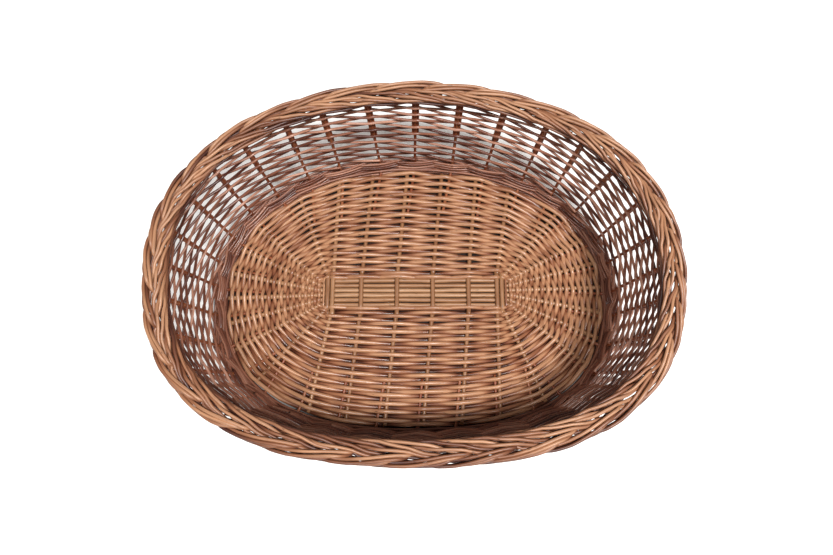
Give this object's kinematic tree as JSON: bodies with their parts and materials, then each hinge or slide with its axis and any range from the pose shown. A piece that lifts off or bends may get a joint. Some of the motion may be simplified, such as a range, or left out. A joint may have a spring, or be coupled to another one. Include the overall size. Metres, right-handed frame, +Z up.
{
  "type": "wicker pet bed basket",
  "caption": "Low oval willow pet bed basket with a woven base on a cross of sticks, an openwork side and a plaited border.",
  "frame": {"origin": "on the floor under the middle of the base", "axes": "+Z up, +X along the long axis, +Y towards the back long side"},
  "size_m": [0.62, 0.456, 0.2],
  "materials": {
    "base_stick": "buff willow rods, satin",
    "base_weave": "buff willow rods, satin",
    "side_weave": "thin dark buff willow rods, satin",
    "stake": "red-brown buff willow rods, satin",
    "border": "buff willow rods, satin"
  },
  "bodies": {
    "root": {"long_stick_1": "base_stick", "long_stick_2": "base_stick", "long_stick_3": "base_stick", "long_stick_4": "base_stick", "long_stick_5": "base_stick", "long_stick_6": "base_stick", "cross_stick_1": "base_stick", "cross_stick_2": "base_stick", "cross_stick_3": "base_stick", "cross_stick_4": "base_stick", "cross_stick_5": "base_stick", "cross_stick_6": "base_stick", "cross_stick_7": "base_stick", "cross_stick_8": "base_stick", "slath_tie_left": "base_weave", "slath_tie_right": "base_weave", "base_weave_1": "base_weave", "base_weave_2": "base_weave", "base_weave_3": "base_weave", "base_weave_4": "base_weave", "upsett_wale": "side_weave", "side_weave_lower": "side_weave", "side_weave_upper": "side_weave", "stakes_right": "stake", "stakes_back": "stake", "stakes_left": "stake", "stakes_front": "stake", "bye_stakes_right": "stake", "bye_stakes_back": "stake", "bye_stakes_left": "stake", "bye_stakes_front": "stake", "border": "border"}
  },
  "joints": []
}
